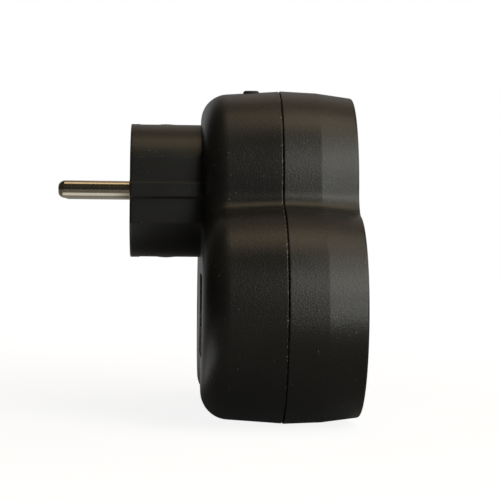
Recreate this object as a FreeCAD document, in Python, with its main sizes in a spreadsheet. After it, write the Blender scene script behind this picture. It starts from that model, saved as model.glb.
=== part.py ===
import FreeCAD, Part
import math
import os
import Sketcher

# Three-way adapter for round mains plugs: a plug nose on the back, three round wells in front.
# Origin: centre of the nose's engagement face. +Y points along the pins to the wall,
# +Z is up, and the wells open towards -Y. A depth is a distance behind the face, along -Y.

SIZES = {
    # contact pins of the plug
    "pin_spacing": 19.0,
    "pin_radius": 2.4,
    "pin_length": 19.4,
    "pin_tip_round": 1.7,
    "pin_shank_radius": 2.6,
    "pin_shoulder": 0.3,
    "pin_collar_radius": 3.4,
    "rivet_radius": 1.5,
    "rivet_head_radius": 2.2,
    "rivet_head_height": 0.5,
    # plug nose
    "nose_radius": 18.5,
    "nose_depth": 19.2,
    "nose_flat": 16.2,
    "nose_edge_round": 0.4,
    "key_rib_width": 4.2,
    "key_rib_height": 1.4,
    "earth_channel_width": 7.0,
    "earth_channel_depth": 1.7,
    "earth_channel_start": 2.5,
    "earth_bore_height": 10.0,
    "earth_mouth_radius": 2.7,
    "earth_mouth_depth": 2.0,
    "earth_bore_floor": 1.2,
    "screw_recess_radius": 3.0,
    # housing
    "upper_lobe_radius": 27.8,
    "lower_lobe_radius": 28.3,
    "lobe_side": 27.75,
    "lobe_drop": 32.75,
    "valley_radius": 3.0,
    "rear_depth": 21.2,
    "rear_draft": 3.8,
    "back_round": 6.0,
    "wall": 2.2,
    "parting_gap": 0.3,
    "front_step": 0.1,
    "crease_depth": 10.0,
    "front_draft": 2.5,
    "bevel_depth": 10.0,
    "bevel_draft": 7.7,
    "cavity_draft": 5.3,
    "front_round": 0.8,
    "lip_length": 2.0,
    "lip_clearance": 0.15,
    "latch_mark_width": 6.0,
    "latch_mark_start": 5.4,
    "latch_mark_length": 4.2,
    "latch_mark_slope": 0.4,
    "latch_mark_height": 0.2,
    # wells
    "well_radius": 19.5,
    "well_depth": 17.5,
    "well_wall": 1.6,
    "floor": 2.0,
    "guide_rise": 2.7,
    "guide_height": 15.0,
    "guide_slot": 5.0,
    "guide_lead": 1.5,
    "contact_hole_radius": 2.6,
    "contact_hole_chamfer": 0.6,
    "well_mouth_round": 0.5,
    # screws and their bosses
    "boss_radius": 3.4,
    "screw_boss_radius": 4.2,
    "boss_clearance": 0.7,
    "screw_radius": 1.5,
    "screw_clearance": 0.05,
    "shank_clearance": 0.15,
    "screw_head_radius": 2.8,
    "screw_head_height": 1.8,
    "screw_head_chamfer": 0.6,
    "screw_end_cover": 1.5,
    "back_screw_sink": 3.5,
    # live and neutral strips
    "strip": 0.8,
    "strip_width": 4.0,
    "strip_pad_radius": 4.2,
    "strip_clearance": 1.0,
    "bridge_rise": 4.8,
    "bridge_start": 9.5,
    "bridge_end": 20.0,
    # contact sleeves
    "sleeve_bore": 2.45,
    "sleeve_wall": 0.65,
    "sleeve_flange_radius": 4.0,
    "sleeve_flange": 0.6,
    "slit_width": 0.7,
    "slit_length": 8.5,
    # earth parts
    "earth_bore": 2.5,
    "earth_sleeve_wall": 0.7,
    "earth_tail_width": 2.4,
    "earth_tail_thickness": 0.4,
    "earth_strip_width": 6.0,
    "strip_edge_round": 0.3,
    "earth_ring_radius": 5.3,
    "earth_link_inset": 4.3,
    "earth_link_radius": 1.5,
    "clip_inset": 0.5,
    "clip_bend": 1.8,
    "clip_nip": 7.0,
    "clip_reach": 10.0,
    "clip_bulge": 0.7,
    # shutters behind the wells
    "shutter_radius": 13.6,
    "shutter": 1.6,
    "shutter_turn": 36.0,
    "shutter_hole_radius": 2.9,
    "overcut": 1.0,
    "axial_gap": 0.3,
    "running_gap": 0.08,
    "fit_gap": 0.2,
    "spring_room": 1.1,
    "spring_radius": 6.2,
    "spring_wire": 0.35,
    "peg_radius": 0.7,
    "shutter_peg_angle": 60.0,
    "cover_peg_angle": 150.0,
    "cover_wall": 1.2,
    "cover_plate": 1.4,
    "collar_wall": 1.0,
    "collar_gap": 0.3,
    "collar_length": 2.5,
    "sleeve_entry": 0.6,
}

# Two places closer than this are taken for the same place when edges are looked up.
NEARLY = 0.005

doc = FreeCAD.newDocument("ThreeWayAdapter")
sheet = doc.addObject("Spreadsheet::Sheet", "Sizes")
for row, (name, number) in enumerate(SIZES.items(), 1):
    sheet.set(f"A{row}", name)
    sheet.set(f"B{row}", str(number))
    sheet.setAlias(f"B{row}", name)
doc.recompute()


class Length:
    # A size worked out from the sheet: its expression there and its present value.
    def __init__(self, text, value):
        self.text = text
        self.value = value

    def joined(self, sign, other, work):
        if not isinstance(other, Length):
            other = Length(str(other), other)
        return Length(f"({self.text} {sign} {other.text})", work(self.value, other.value))

    def __add__(self, other):
        return self.joined("+", other, lambda a, b: a + b)

    def __sub__(self, other):
        return self.joined("-", other, lambda a, b: a - b)

    def __mul__(self, other):
        return self.joined("*", other, lambda a, b: a * b)

    def __truediv__(self, other):
        return self.joined("/", other, lambda a, b: a / b)

    def __neg__(self):
        return Length(f"(-1 * {self.text})", -self.value)


class NamedSizes:
    def __getattr__(self, name):
        return Length(f"Sizes.{name}", SIZES[name])


def root(length):
    return Length(f"sqrt({length.text})", math.sqrt(length.value))


def sine(angle):
    return Length(f"sin({angle.text} * 1 deg)", math.sin(math.radians(angle.value)))


def cosine(angle):
    return Length(f"cos({angle.text} * 1 deg)", math.cos(math.radians(angle.value)))


def tangent(angle):
    return Length(f"tan({angle.text} * 1 deg)", math.tan(math.radians(angle.value)))


s = NamedSizes()
middle = Length("0", 0.0)

# Places that several pieces share.
pin_side = s.pin_spacing / 2
parting = s.nose_depth + s.rear_depth
front_rim = parting + s.parting_gap
crease = front_rim + s.crease_depth
front = crease + s.bevel_depth
well_floor = front - s.well_depth
floor_back = well_floor - s.floor
inner_back = s.nose_depth + s.wall
strip_back = inner_back + s.strip_clearance
strip_front = strip_back + s.strip
earth_seat = inner_back - s.strip - s.strip_clearance / 2
channel_floor = s.nose_radius - s.earth_channel_depth
earth_sleeve_end = earth_seat - s.earth_bore_floor
earth_tail_height = s.earth_bore + s.earth_tail_thickness / 2
nose_screw_seat = s.nose_depth - s.wall
shutter_front = floor_back - s.axial_gap
shutter_back = shutter_front - s.shutter
plate_front = shutter_back - s.spring_room
plate_back = plate_front - s.cover_plate
collar_end = plate_back - s.collar_length
clip_back = collar_end - s.strip
earth_bar_back = clip_back - s.strip
boss_meet = earth_bar_back - s.boss_clearance
screw_tip = floor_back - s.screw_end_cover
sleeve_mouth = plate_back - s.sleeve_entry
boss_hole = s.boss_radius + s.fit_gap
sockets = {
    "top": (middle, middle),
    "left": (-s.lobe_side, -s.lobe_drop),
    "right": (s.lobe_side, -s.lobe_drop),
}


def bind(thing, path, length):
    thing.setExpression(path, length.text)


def new_body(label):
    body = doc.addObject("PartDesign::Body", label)
    body.Label = label
    return body


def place(thing, x, z):
    bind(thing, "Placement.Base.x", x)
    bind(thing, "Placement.Base.z", z)


def new_sketch(body, name, depth=middle, role="XZ_Plane"):
    # On XZ_Plane the drawing's normal is -Y, so its offset is a depth.
    drawing = body.newObject("Sketcher::SketchObject", f"{body.Label}_{name}")
    plane = next(part for part in body.Origin.OriginFeatures if part.Role == role)
    drawing.AttachmentSupport = [(plane, "")]
    drawing.MapMode = "FlatFace"
    bind(drawing, ".AttachmentOffset.Base.z", depth)
    return drawing


def fix(drawing, kind, *where, length):
    index = drawing.addConstraint(Sketcher.Constraint(kind, *where, length.value))
    bind(drawing, f"Constraints[{index}]", length)


def put(drawing, geometry, point, across, up):
    for kind, axis, length in (("DistanceX", -2, across), ("DistanceY", -1, up)):
        if length is middle:
            drawing.addConstraint(Sketcher.Constraint("PointOnObject", geometry, point, axis))
        else:
            fix(drawing, kind, -1, 1, geometry, point, length=length)


def circle(drawing, across, up, radius):
    centre = FreeCAD.Vector(across.value, up.value, 0)
    ring = Part.Circle(centre, FreeCAD.Vector(0, 0, 1), radius.value)
    geometry = drawing.addGeometry(ring, False)
    put(drawing, geometry, 3, across, up)
    fix(drawing, "Radius", geometry, length=radius)


def polygon(drawing, corners):
    points = [FreeCAD.Vector(across.value, up.value, 0) for across, up in corners]
    following = points[1:] + points[:1]
    sides = [drawing.addGeometry(Part.LineSegment(a, b), False)
             for a, b in zip(points, following)]
    for side, after in zip(sides, sides[1:] + sides[:1]):
        drawing.addConstraint(Sketcher.Constraint("Coincident", side, 2, after, 1))
    for side, (across, up) in zip(sides, corners):
        put(drawing, side, 1, across, up)


def rectangle(drawing, across, up, width, height):
    left = across - width / 2
    right = across + width / 2
    low = up - height / 2
    high = up + height / 2
    polygon(drawing, [(left, low), (right, low), (right, high), (left, high)])


def arc(drawing, centre, radius, start, end):
    # A counter-clockwise arc of a circle between two directions in radians.
    ring = Part.Circle(FreeCAD.Vector(*centre, 0), FreeCAD.Vector(0, 0, 1), radius.value)
    geometry = drawing.addGeometry(Part.ArcOfCircle(ring, start, end), False)
    fix(drawing, "Radius", geometry, length=radius)
    return geometry


def direction(here, there):
    return math.atan2(there[1] - here[1], there[0] - here[0])


def trefoil(drawing, inset):
    # Three lobes joined by concave arcs, every arc drawn in by the same inset.
    upper = s.upper_lobe_radius - inset
    lower = s.lower_lobe_radius - inset
    hollow = s.valley_radius + inset
    side, drop = s.lobe_side.value, s.lobe_drop.value
    to_upper = upper.value + hollow.value
    to_lower = lower.value + hollow.value
    span = math.hypot(side, drop)
    along = (to_upper ** 2 - to_lower ** 2 + span ** 2) / (2 * span)
    aside = math.sqrt(to_upper ** 2 - along ** 2)
    valley = ((along * side + aside * drop) / span, (aside * side - along * drop) / span)
    base = (0.0, -drop - math.sqrt(to_lower ** 2 - side ** 2))
    right, left, mirrored = (side, -drop), (-side, -drop), (-valley[0], valley[1])
    turn = 2 * math.pi
    top_lobe = arc(drawing, (0.0, 0.0), upper, direction((0, 0), valley),
                   direction((0, 0), mirrored))
    left_valley = arc(drawing, mirrored, hollow, direction(mirrored, left),
                      direction(mirrored, (0, 0)))
    left_lobe = arc(drawing, left, lower, direction(left, mirrored),
                    direction(left, base) + turn)
    base_valley = arc(drawing, base, hollow, direction(base, right), direction(base, left))
    right_lobe = arc(drawing, right, lower, direction(right, base), direction(right, valley))
    right_valley = arc(drawing, valley, hollow, direction(valley, (0, 0)),
                       direction(valley, right) + turn)
    put(drawing, top_lobe, 3, middle, middle)
    put(drawing, left_lobe, 3, -s.lobe_side, -s.lobe_drop)
    put(drawing, right_lobe, 3, s.lobe_side, -s.lobe_drop)
    for first, first_end, second, second_end in (
            (top_lobe, 2, left_valley, 2), (left_valley, 1, left_lobe, 1),
            (left_lobe, 2, base_valley, 2), (base_valley, 1, right_lobe, 1),
            (right_lobe, 2, right_valley, 2), (right_valley, 1, top_lobe, 1)):
        drawing.addConstraint(
            Sketcher.Constraint("Tangent", first, first_end, second, second_end))


def raise_from(drawing, length, to_wall=False, taper=None, both_ways=False):
    body = drawing.getParentGeoFeatureGroup()
    pad = body.newObject("PartDesign::Pad", f"{drawing.Name}_pad")
    pad.Profile = drawing
    pad.Reversed = to_wall
    bind(pad, "Length", length)
    if both_ways:
        pad.SideType = "Symmetric"
    if taper is not None:
        bind(pad, "TaperAngle", -taper)
    body.Tip = pad
    return pad


def cut_from(drawing, length, to_wall=False, taper=None):
    body = drawing.getParentGeoFeatureGroup()
    pocket = body.newObject("PartDesign::Pocket", f"{drawing.Name}_pocket")
    pocket.Profile = drawing
    pocket.Reversed = not to_wall
    bind(pocket, "Length", length)
    if taper is not None:
        bind(pocket, "TaperAngle", -taper)
    body.Tip = pocket
    return pocket


def revolve(drawing):
    body = drawing.getParentGeoFeatureGroup()
    turned = body.newObject("PartDesign::Revolution", f"{drawing.Name}_turned")
    turned.Profile = drawing
    turned.ReferenceAxis = (drawing, ["V_Axis"])
    turned.Angle = 360
    body.Tip = turned
    return turned


def edges_at(feature, depth, curve=None):
    # The edges that lie wholly at one depth, or only its circles of one radius.
    doc.recompute()
    names = []
    for number, edge in enumerate(feature.Shape.Edges, 1):
        box = edge.BoundBox
        level = max(abs(box.YMin + depth.value), abs(box.YMax + depth.value)) < NEARLY
        wanted = curve is None or (
            isinstance(edge.Curve, Part.Circle) and abs(edge.Curve.Radius - curve.value) < NEARLY)
        if level and wanted:
            names.append(f"Edge{number}")
    return names


def bend_edges(feature):
    # The edges across a bent strip, all parallel to X.
    doc.recompute()
    names = []
    for number, edge in enumerate(feature.Shape.Edges, 1):
        box = edge.BoundBox
        if max(box.YLength, box.ZLength) < NEARLY:
            names.append(f"Edge{number}")
    return names


def dress(kind, path, feature, names, length):
    body = feature.getParentGeoFeatureGroup()
    dressed = body.newObject(f"PartDesign::{kind}", f"{feature.Name}_{kind.lower()}")
    dressed.Base = (feature, names)
    bind(dressed, path, length)
    body.Tip = dressed
    return dressed


def round_edges(feature, names, radius):
    return dress("Fillet", "Radius", feature, names, radius)


def chamfer_edges(feature, names, width):
    return dress("Chamfer", "Size", feature, names, width)


def make_rear_shell():
    body = new_body("rear_shell")
    outline = new_sketch(body, "outline", parting)
    trefoil(outline, middle)
    outer = raise_from(outline, s.rear_depth, to_wall=True, taper=s.rear_draft)
    round_edges(outer, edges_at(outer, s.nose_depth), s.back_round)
    cavity = new_sketch(body, "cavity", parting)
    trefoil(cavity, s.wall)
    hollow = cut_from(cavity, s.rear_depth - s.wall, to_wall=True, taper=s.rear_draft)
    round_edges(hollow, edges_at(hollow, inner_back), s.back_round - s.wall)
    rebate = new_sketch(body, "rebate", parting)
    trefoil(rebate, s.wall / 2)
    cut_from(rebate, s.lip_length, to_wall=True)
    add_nose(body)
    add_latch_mark(body)
    pads = new_sketch(body, "strip_rests", strip_back)
    for side in (-1, 1):
        for contact in (-1, 1):
            circle(pads, s.lobe_side * side + pin_side * contact, -s.lobe_drop, s.strip_pad_radius)
    raise_from(pads, s.strip_clearance + s.wall / 2, to_wall=True)
    return body


def add_nose(body):
    disc = new_sketch(body, "nose", inner_back)
    circle(disc, middle, middle, s.nose_radius)
    nose = raise_from(disc, inner_back, to_wall=True)
    round_edges(nose, edges_at(nose, middle, s.nose_radius), s.nose_edge_round)
    flats = new_sketch(body, "side_flats")
    slab = s.nose_radius - s.nose_flat + s.overcut
    for side in (-1, 1):
        rectangle(flats, (s.nose_flat + slab / 2) * side, middle, slab, s.nose_radius * 2)
    cut_from(flats, s.nose_depth)
    ribs = new_sketch(body, "key_ribs")
    width = s.key_rib_height + s.wall / 2
    for side in (-1, 1):
        rectangle(ribs, (s.nose_flat + s.key_rib_height - width / 2) * side, middle, width,
                  s.key_rib_width)
    raise_from(ribs, s.nose_depth + s.wall / 2)
    channels = new_sketch(body, "earth_channels", s.earth_channel_start)
    height = s.earth_channel_depth + s.fit_gap
    for side in (-1, 1):
        rectangle(channels, middle, (channel_floor + height / 2) * side,
                  s.earth_channel_width, height)
    cut_from(channels, inner_back - s.earth_channel_start)
    seat = new_sketch(body, "earth_seat", inner_back)
    rectangle(seat, middle, middle, s.earth_channel_width, (channel_floor + height) * 2)
    cut_from(seat, inner_back - earth_seat, to_wall=True)
    relief = new_sketch(body, "earth_bend_relief", inner_back)
    for side in (-1, 1):
        rectangle(relief, middle, (channel_floor - s.strip_edge_round / 2) * side,
                  s.earth_channel_width, s.strip_edge_round)
    cut_from(relief, inner_back - earth_seat + s.strip_edge_round, to_wall=True)
    ring_seat = new_sketch(body, "earth_ring_seat", inner_back)
    circle(ring_seat, middle, middle, s.earth_ring_radius + s.fit_gap)
    cut_from(ring_seat, inner_back - earth_seat, to_wall=True)
    add_rear_bosses(body)
    pin_bores = new_sketch(body, "pin_bores")
    for side in (-1, 1):
        circle(pin_bores, pin_side * side, middle, s.pin_shank_radius + s.running_gap / 2)
    cut_from(pin_bores, inner_back)
    mouth = new_sketch(body, "earth_mouth")
    circle(mouth, middle, s.earth_bore_height, s.earth_mouth_radius)
    cut_from(mouth, s.earth_mouth_depth)
    bore = new_sketch(body, "earth_bore", s.earth_mouth_depth)
    circle(bore, middle, s.earth_bore_height,
           s.earth_bore + s.earth_sleeve_wall + s.running_gap)
    cut_from(bore, earth_sleeve_end - s.earth_mouth_depth)
    slot = new_sketch(body, "earth_tail_slot", earth_sleeve_end)
    rectangle(slot, middle, s.earth_bore_height + earth_tail_height,
              s.earth_tail_width + s.fit_gap, s.earth_tail_thickness + s.fit_gap)
    cut_from(slot, s.earth_bore_floor)


def add_rear_bosses(body):
    centre = new_sketch(body, "nose_boss", boss_meet)
    circle(centre, middle, middle, s.boss_radius)
    raise_from(centre, boss_meet - earth_seat + s.strip, to_wall=True)
    lower = new_sketch(body, "lower_bosses", boss_meet)
    for side in (-1, 1):
        circle(lower, s.lobe_side * side, -s.lobe_drop, s.screw_boss_radius)
    raise_from(lower, boss_meet - inner_back + s.wall / 2, to_wall=True)
    deep = new_sketch(body, "nose_screw_recess")
    circle(deep, middle, middle, s.screw_recess_radius)
    cut_from(deep, nose_screw_seat)
    shallow = new_sketch(body, "back_screw_recesses", s.nose_depth)
    for side in (-1, 1):
        circle(shallow, s.lobe_side * side, -s.lobe_drop, s.screw_recess_radius)
    cut_from(shallow, s.back_screw_sink)
    shanks = new_sketch(body, "shank_holes")
    for across, up in sockets.values():
        circle(shanks, across, up, s.screw_radius + s.shank_clearance)
    cut_from(shanks, boss_meet)


def add_latch_mark(body):
    # The low mark on top of the rear shell, with sloped ends.
    mark = new_sketch(body, "latch_mark", role="YZ_Plane")
    near = s.latch_mark_start - parting
    far = near + s.latch_mark_length
    foot = s.upper_lobe_radius - s.wall / 2
    crown = s.upper_lobe_radius + s.latch_mark_height
    slope = s.latch_mark_slope
    polygon(mark, [(near, foot), (far, foot), (far - slope, crown), (near + slope, crown)])
    raise_from(mark, s.latch_mark_width, both_ways=True)


def make_front_shell():
    body = new_body("front_shell")
    rim = new_sketch(body, "rim", front_rim)
    trefoil(rim, -s.front_step)
    raise_from(rim, s.crease_depth, taper=s.front_draft)
    bevel = new_sketch(body, "bevel", crease)
    trefoil(bevel, s.crease_depth * tangent(s.front_draft) - s.front_step)
    face = raise_from(bevel, s.bevel_depth, taper=s.bevel_draft)
    round_edges(face, edges_at(face, front), s.front_round)
    cavity = new_sketch(body, "cavity", front_rim)
    trefoil(cavity, s.wall)
    cut_from(cavity, front - front_rim - s.wall, taper=s.cavity_draft)
    add_wells(body)
    lip = new_sketch(body, "lip", front_rim)
    trefoil(lip, s.wall / 2 + s.lip_clearance)
    trefoil(lip, s.wall)
    raise_from(lip, s.lip_length, to_wall=True)
    bosses = new_sketch(body, "bosses", floor_back)
    for across, up in sockets.values():
        circle(bosses, across, up, s.boss_radius)
    raise_from(bosses, floor_back - boss_meet, to_wall=True)
    pilots = new_sketch(body, "pilot_holes", boss_meet)
    for across, up in sockets.values():
        circle(pilots, across, up, s.screw_radius + s.screw_clearance)
    cut_from(pilots, screw_tip - boss_meet + s.axial_gap)
    return body


def add_wells(body):
    tubes = new_sketch(body, "well_tubes", floor_back)
    for across, up in sockets.values():
        circle(tubes, across, up, s.well_radius + s.well_wall)
    raise_from(tubes, front - floor_back - s.wall / 2)
    wells = new_sketch(body, "wells", front)
    for across, up in sockets.values():
        circle(wells, across, up, s.well_radius)
    sunk = cut_from(wells, s.well_depth, to_wall=True)
    round_edges(sunk, edges_at(sunk, front, s.well_radius), s.well_mouth_round)
    guides = new_sketch(body, "guides", well_floor)
    offset = s.well_radius - s.guide_rise / 2
    half = (s.guide_height - s.guide_slot) / 2
    for across, up in sockets.values():
        for side in (-1, 1):
            for above in (-1, 1):
                rectangle(guides, across + offset * side, up + (s.guide_slot + half) / 2 * above,
                          s.guide_rise, half)
    raise_from(guides, s.well_depth - s.guide_lead)
    holes = new_sketch(body, "contact_holes", well_floor)
    slot_height = s.strip + s.fit_gap * 2
    slot_middle = s.well_radius - s.clip_inset - s.strip / 2
    for across, up in sockets.values():
        for side in (-1, 1):
            circle(holes, across + pin_side * side, up, s.contact_hole_radius)
            rectangle(holes, across, up + (slot_middle - s.fit_gap / 2) * side,
                      s.earth_strip_width + s.fit_gap * 2, slot_height)
    drilled = cut_from(holes, s.floor, to_wall=True)
    chamfer_edges(drilled, edges_at(drilled, well_floor, s.contact_hole_radius),
                  s.contact_hole_chamfer)


def make_pin(label, side):
    # Its shank is seated in the nose, ends in a low shoulder and is riveted to the strip.
    body = new_body(label)
    profile = new_sketch(body, "profile", role="XY_Plane")
    head = -(strip_front + s.rivet_head_height)
    polygon(profile, [
        (middle, head), (s.rivet_head_radius, head), (s.rivet_head_radius, -strip_front),
        (s.rivet_radius, -strip_front), (s.rivet_radius, -strip_back),
        (s.pin_collar_radius, -strip_back), (s.pin_collar_radius, -inner_back),
        (s.pin_shank_radius, -inner_back), (s.pin_shank_radius, s.pin_shoulder),
        (s.pin_radius, s.pin_shoulder), (s.pin_radius, s.pin_length), (middle, s.pin_length)])
    turned = revolve(profile)
    round_edges(turned, edges_at(turned, -s.pin_length), s.pin_tip_round)
    place(body, pin_side * side, middle)
    return body


def arm(body, name, start, heading, near, far, depth, thickness):
    # A straight stretch of strip from near to far along a heading out of a pad.
    (x, z), (along, up) = start, heading
    half = s.strip_width / 2
    drawing = new_sketch(body, name, depth)
    corners = []
    for distance, side in ((near, -1), (far, -1), (far, 1), (near, 1)):
        corners.append((x + along * distance - up * half * side,
                        z + up * distance + along * half * side))
    polygon(drawing, corners)
    raise_from(drawing, thickness)


def make_bus_bar(label, side, bridged):
    # The strip of one pole: its upper pad, the outer arm down its own side,
    # and the inner arm that crosses to the other lower socket.
    body = new_body(label)
    reach = root(s.lobe_side * s.lobe_side + s.lobe_drop * s.lobe_drop)
    upper = (pin_side * side, middle)
    outward = (s.lobe_side / reach * side, -(s.lobe_drop / reach))
    inward = (s.lobe_side / reach * -side, -(s.lobe_drop / reach))
    arm(body, "outer_arm", upper, outward, middle, reach, strip_back, s.strip)
    if bridged:
        bridge = strip_back + s.bridge_rise
        rise = s.bridge_rise + s.strip
        before = s.bridge_start + s.strip
        after = s.bridge_end - s.strip
        arm(body, "inner_arm_start", upper, inward, middle, before, strip_back, s.strip)
        arm(body, "first_rise", upper, inward, s.bridge_start, before, strip_back, rise)
        arm(body, "bridge", upper, inward, s.bridge_start, s.bridge_end, bridge, s.strip)
        arm(body, "second_rise", upper, inward, after, s.bridge_end, strip_back, rise)
        arm(body, "inner_arm_end", upper, inward, after, reach, strip_back, s.strip)
    else:
        arm(body, "inner_arm", upper, inward, middle, reach, strip_back, s.strip)
    pads = new_sketch(body, "pads", strip_back)
    circle(pads, pin_side * side, middle, s.strip_pad_radius)
    circle(pads, (s.lobe_side + pin_side) * side, -s.lobe_drop, s.strip_pad_radius)
    circle(pads, (pin_side - s.lobe_side) * side, -s.lobe_drop, s.strip_pad_radius)
    raise_from(pads, s.strip)
    hole = new_sketch(body, "rivet_hole", strip_back)
    circle(hole, pin_side * side, middle, s.rivet_radius + s.running_gap / 2)
    cut_from(hole, s.strip)
    return body


def make_contact(label, across, up):
    # A turned sleeve with a riveted flange and two slits that let its mouth spring open.
    body = new_body(label)
    outer = s.sleeve_bore + s.sleeve_wall
    flange_front = strip_front + s.sleeve_flange
    profile = new_sketch(body, "profile", role="XY_Plane")
    polygon(profile, [
        (s.sleeve_bore, -sleeve_mouth), (outer, -sleeve_mouth), (outer, -flange_front),
        (s.sleeve_flange_radius, -flange_front), (s.sleeve_flange_radius, -strip_front),
        (s.sleeve_bore, -strip_front)])
    revolve(profile)
    slits = new_sketch(body, "slits", sleeve_mouth)
    rectangle(slits, middle, middle, s.slit_width, (outer + s.fit_gap) * 2)
    cut_from(slits, s.slit_length, to_wall=True)
    place(body, across, up)
    return body


def make_earth_clip(label, across, up):
    # A strip bent to a U: its legs come through the well's floor and bulge inwards.
    body = new_body(label)
    bent = new_sketch(body, "side_view", role="YZ_Plane")
    out = s.well_radius - s.clip_inset
    knee = -well_floor - s.clip_bend
    nip = -well_floor - s.clip_nip
    tip = -well_floor - s.clip_reach
    upper = [
        (-clip_back, out), (knee, out), (nip, out - s.clip_bend), (tip, out - s.clip_bulge),
        (tip, out - s.clip_bulge - s.strip), (nip, out - s.clip_bend - s.strip),
        (knee, out - s.strip), (-collar_end, out - s.strip)]
    lower = [(y, -z) for y, z in reversed(upper)]
    polygon(bent, upper + lower)
    strip = raise_from(bent, s.earth_strip_width, both_ways=True)
    round_edges(strip, bend_edges(strip), s.strip_edge_round)
    ring = new_sketch(body, "ring", clip_back)
    circle(ring, middle, middle, s.earth_ring_radius)
    raise_from(ring, s.strip)
    hole = new_sketch(body, "boss_hole", clip_back)
    circle(hole, middle, middle, boss_hole)
    cut_from(hole, s.strip)
    place(body, across, up)
    return body


def make_earth_bar():
    # The plate that joins the three earth clips around the screw bosses.
    body = new_body("earth_bar")
    reach = root(s.lobe_side * s.lobe_side + s.lobe_drop * s.lobe_drop)
    for name, side in (("left_arm", -1), ("right_arm", 1)):
        heading = (s.lobe_side / reach * side, -(s.lobe_drop / reach))
        arm(body, name, (middle, middle), heading, middle, reach, earth_bar_back, s.strip)
    rings = new_sketch(body, "rings", earth_bar_back)
    holes = new_sketch(body, "boss_holes", earth_bar_back)
    for across, up in sockets.values():
        circle(rings, across, up, s.earth_ring_radius)
        circle(holes, across, up, boss_hole)
    raise_from(rings, s.strip)
    cut_from(holes, s.strip)
    return body


def make_plug_earth_strip():
    # A strip bent to a U: its base lies behind the nose, its legs are the side contacts.
    body = new_body("plug_earth_strip")
    bent = new_sketch(body, "side_view", role="YZ_Plane")
    out = channel_floor + s.strip + s.fit_gap / 2
    bulge = s.nose_radius - s.fit_gap / 2
    tip = -s.earth_channel_start - s.clip_bulge
    middle_of_leg = -s.nose_depth / 2
    knee = -s.nose_depth + s.clip_bend
    upper = [
        (-earth_seat - s.strip, out), (knee, out), (middle_of_leg, bulge), (tip, out),
        (tip, out - s.strip), (middle_of_leg, bulge - s.strip), (knee, out - s.strip),
        (-earth_seat, out - s.strip)]
    lower = [(y, -z) for y, z in reversed(upper)]
    polygon(bent, upper + lower)
    strip = raise_from(bent, s.earth_strip_width, both_ways=True)
    round_edges(strip, bend_edges(strip), s.strip_edge_round)
    ring = new_sketch(body, "ring", earth_seat)
    circle(ring, middle, middle, s.earth_ring_radius)
    raise_from(ring, s.strip)
    hole = new_sketch(body, "boss_hole", earth_seat)
    circle(hole, middle, middle, boss_hole)
    cut_from(hole, s.strip)
    return body


def make_earth_sleeve():
    # The socket in the nose for a wall outlet's earth pin. Its tail reaches the earth strip.
    body = new_body("plug_earth_sleeve")
    mouth = -(s.earth_mouth_depth + s.running_gap)
    outer = s.earth_bore + s.earth_sleeve_wall
    profile = new_sketch(body, "profile", role="XY_Plane")
    polygon(profile, [(s.earth_bore, mouth), (outer, mouth), (outer, -earth_sleeve_end),
                      (s.earth_bore, -earth_sleeve_end)])
    revolve(profile)
    tail = new_sketch(body, "tail", earth_sleeve_end - s.overcut)
    rectangle(tail, middle, earth_tail_height, s.earth_tail_width, s.earth_tail_thickness)
    raise_from(tail, s.earth_bore_floor + s.overcut)
    slit = new_sketch(body, "slit", s.earth_mouth_depth)
    rectangle(slit, middle, middle, s.slit_width, (outer + s.fit_gap) * 2)
    cut_from(slit, s.slit_length)
    place(body, middle, s.earth_bore_height)
    return body


def make_earth_link():
    post = doc.addObject("Part::Cylinder", "earth_link")
    post.Label = "earth_link"
    bind(post, "Radius", s.earth_link_radius)
    bind(post, "Height", clip_back - earth_seat - s.strip)
    post.Placement = FreeCAD.Placement(
        FreeCAD.Vector(), FreeCAD.Rotation(FreeCAD.Vector(1, 0, 0), 90))
    bind(post, "Placement.Base.y", -earth_seat - s.strip)
    bind(post, "Placement.Base.z", channel_floor - s.earth_link_inset)
    return post


def make_shutter(label, across, up):
    # The disc that hides the contacts. At rest its holes stand a shutter_turn away from
    # the contact holes, and it turns on the screw boss to let a plug in.
    body = new_body(label)
    disc = new_sketch(body, "disc", shutter_back)
    circle(disc, middle, middle, s.shutter_radius)
    circle(disc, middle, middle, s.boss_radius + s.running_gap)
    for side in (-1, 1):
        circle(disc, pin_side * cosine(s.shutter_turn) * side,
               pin_side * sine(s.shutter_turn) * side, s.shutter_hole_radius)
    raise_from(disc, s.shutter)
    peg = new_sketch(body, "peg", shutter_back)
    circle(peg, s.spring_radius * cosine(s.shutter_peg_angle),
           s.spring_radius * sine(s.shutter_peg_angle), s.peg_radius)
    raise_from(peg, s.spring_room - s.fit_gap, to_wall=True)
    place(body, across, up)
    return body


def make_shutter_cover(label, across, up):
    # A shallow cup over the disc, with collars that hold the mouths of the sleeves.
    body = new_body(label)
    outer = s.shutter_radius + s.fit_gap * 2 + s.cover_wall
    sleeve_hole = s.sleeve_bore + s.sleeve_wall + s.collar_gap
    plate = new_sketch(body, "plate", plate_back)
    circle(plate, middle, middle, outer)
    circle(plate, middle, middle, boss_hole)
    for side in (-1, 1):
        circle(plate, pin_side * side, middle, sleeve_hole)
    raise_from(plate, s.cover_plate)
    skirt = new_sketch(body, "skirt", plate_front)
    circle(skirt, middle, middle, outer)
    circle(skirt, middle, middle, outer - s.cover_wall)
    raise_from(skirt, floor_back - plate_front)
    collars = new_sketch(body, "collars", plate_back)
    for side in (-1, 1):
        circle(collars, pin_side * side, middle, sleeve_hole)
        circle(collars, pin_side * side, middle, sleeve_hole + s.collar_wall)
    raise_from(collars, s.collar_length, to_wall=True)
    peg = new_sketch(body, "peg", plate_front)
    circle(peg, s.spring_radius * cosine(s.cover_peg_angle),
           s.spring_radius * sine(s.cover_peg_angle), s.peg_radius)
    raise_from(peg, s.spring_room - s.fit_gap)
    place(body, across, up)
    return body


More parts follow.
